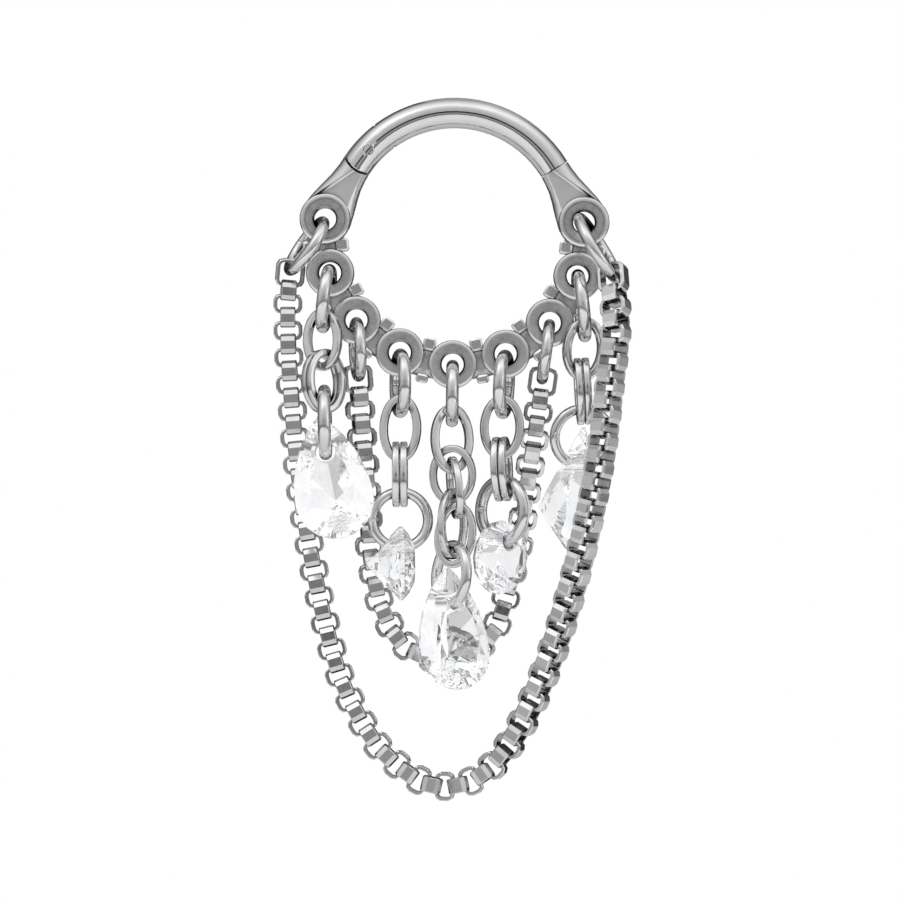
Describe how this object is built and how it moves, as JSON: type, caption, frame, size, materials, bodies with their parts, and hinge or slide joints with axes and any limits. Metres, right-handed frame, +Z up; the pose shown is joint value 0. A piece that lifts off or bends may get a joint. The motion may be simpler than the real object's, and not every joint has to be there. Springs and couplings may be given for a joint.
{
  "type": "piercing_hoop",
  "caption": "Hinged clicker hoop in polished grey metal with cast eyelets, hanging link drops with clear cut stones and two draped box chains",
  "frame": {"origin": "middle of the round bar's centreline at the top of the hoop, where the bar sits in the piercing", "axes": "+Z up, -Y towards the viewer, +X to the viewer's right"},
  "size_m": [0.0141, 0.0047, 0.0277],
  "materials": {
    "metal_frame": "satin",
    "metal_bar": "polished",
    "metal_rings": "polished",
    "metal_chain": "polished",
    "stone": "polished"
  },
  "bodies": {
    "frame": {"hoop_frame": "metal_frame", "hinge_pin": "metal_bar", "outer_ring_left": "metal_rings", "outer_ring_right": "metal_rings", "inner_ring_left": "metal_rings", "inner_ring_right": "metal_rings", "outer_box_chain": "metal_chain", "inner_box_chain": "metal_chain", "drop1_jump_ring": "metal_rings", "drop1_oval_link": "metal_rings", "drop1_thin_ring_a": "metal_rings", "drop1_thin_ring_b": "metal_rings", "drop1_stone_ring": "metal_rings", "drop1_pear_stone": "stone", "drop2_jump_ring": "metal_rings", "drop2_oval_link": "metal_rings", "drop2_thin_ring_a": "metal_rings", "drop2_thin_ring_b": "metal_rings", "drop2_stone_ring": "metal_rings", "drop2_round_stone": "stone", "drop3_jump_ring": "metal_rings", "drop3_oval_link": "metal_rings", "drop3_thin_ring_a": "metal_rings", "drop3_thin_ring_b": "metal_rings", "drop3_thin_ring_c": "metal_rings", "drop3_thin_ring_d": "metal_rings", "drop3_stone_ring": "metal_rings", "drop3_pear_stone": "stone", "drop4_jump_ring": "metal_rings", "drop4_oval_link": "metal_rings", "drop4_thin_ring_a": "metal_rings", "drop4_thin_ring_b": "metal_rings", "drop4_stone_ring": "metal_rings", "drop4_round_stone": "stone", "drop5_jump_ring": "metal_rings", "drop5_oval_link": "metal_rings", "drop5_thin_ring_a": "metal_rings", "drop5_thin_ring_b": "metal_rings", "drop5_stone_ring": "metal_rings", "drop5_pear_stone": "stone"},
    "bar": {"clicker_bar": "metal_bar"}
  },
  "joints": [
    {"name": "clicker_hinge", "type": "hinge", "parent": "frame", "child": "bar", "pos_m": [-0.00342, 0, -0.00152], "axis": [0, -1, 0], "range_deg": [0, 90]}
  ]
}
